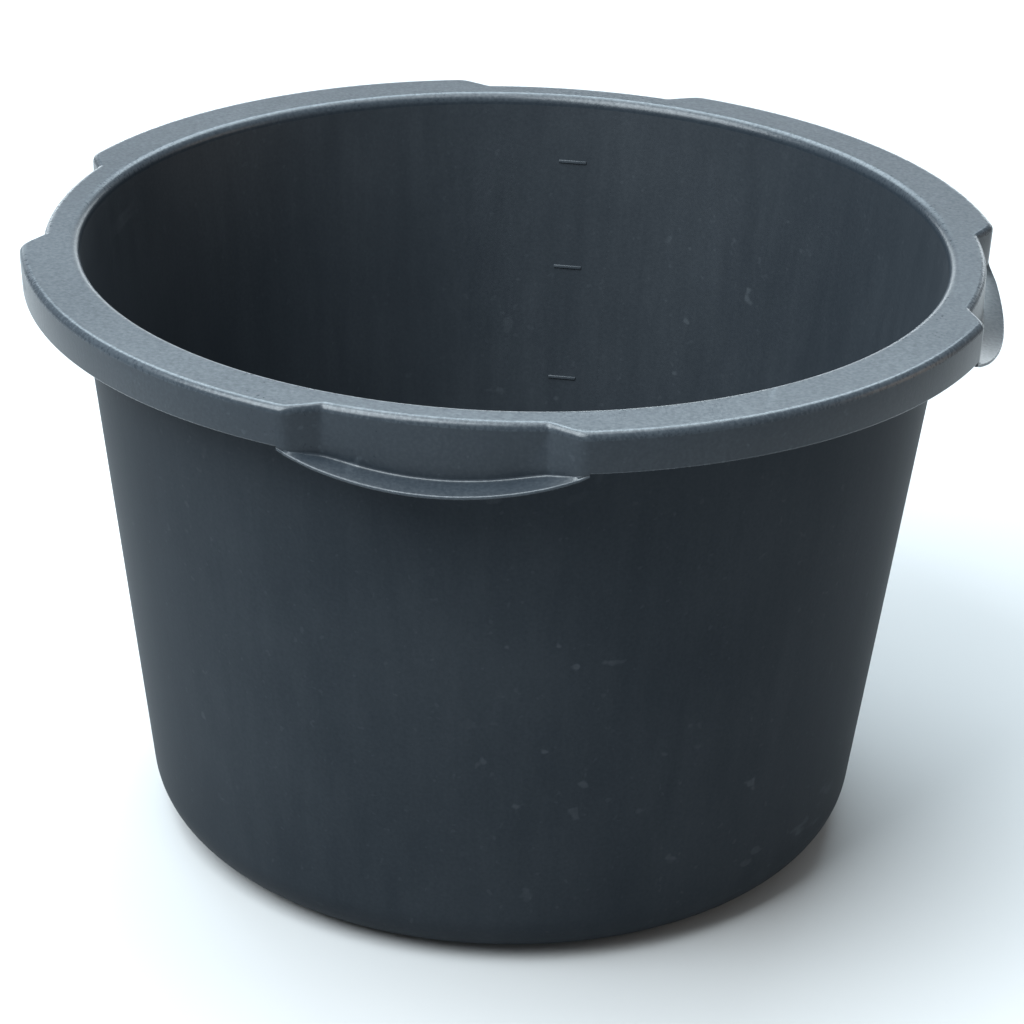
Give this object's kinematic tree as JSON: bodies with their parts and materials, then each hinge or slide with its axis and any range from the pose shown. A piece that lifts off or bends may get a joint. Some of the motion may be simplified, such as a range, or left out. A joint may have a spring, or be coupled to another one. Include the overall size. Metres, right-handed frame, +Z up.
{
  "type": "mortar mixing tub",
  "caption": "Round tapered plastic mixing tub with a hanging rim, finger grips recessed into the rim, level marks inside and stacking ribs under the rim.",
  "frame": {"origin": "on the ground, under the middle of the base", "axes": "+Z up along the tub's axis; the grips face -Y (front), +X (right), +Y (back) and -X (left); the level marks are inside, under the back grip"},
  "size_m": [0.66, 0.66, 0.423],
  "materials": {
    "outside_plastic": "dark blue-black recycled polyethylene, satin, as moulded",
    "inside_plastic": "dark blue-black recycled polyethylene, satin with light scuffs",
    "rim_plastic": "dark blue-black recycled polyethylene, a little smoother on the rim"
  },
  "bodies": {
    "root": {"floor_plate": "inside_plastic", "foot_ring": "outside_plastic", "floor_ribs_under": "outside_plastic", "gate_mark": "outside_plastic", "base_corner": "outside_plastic", "wall_shell": "outside_plastic", "rim_throat": "rim_plastic", "rim_flange": "rim_plastic", "rim_skirt_front_right": "rim_plastic", "rim_skirt_back_right": "rim_plastic", "rim_skirt_back_left": "rim_plastic", "rim_skirt_front_left": "rim_plastic", "grip_recess_front": "rim_plastic", "grip_recess_right": "rim_plastic", "grip_recess_back": "rim_plastic", "grip_recess_left": "rim_plastic", "grip_lip_front": "rim_plastic", "grip_lip_right": "rim_plastic", "grip_lip_back": "rim_plastic", "grip_lip_left": "rim_plastic", "stacking_ribs": "outside_plastic", "level_mark_1": "inside_plastic", "level_mark_2": "inside_plastic", "level_mark_3": "inside_plastic", "level_mark_4": "inside_plastic"}
  },
  "joints": []
}
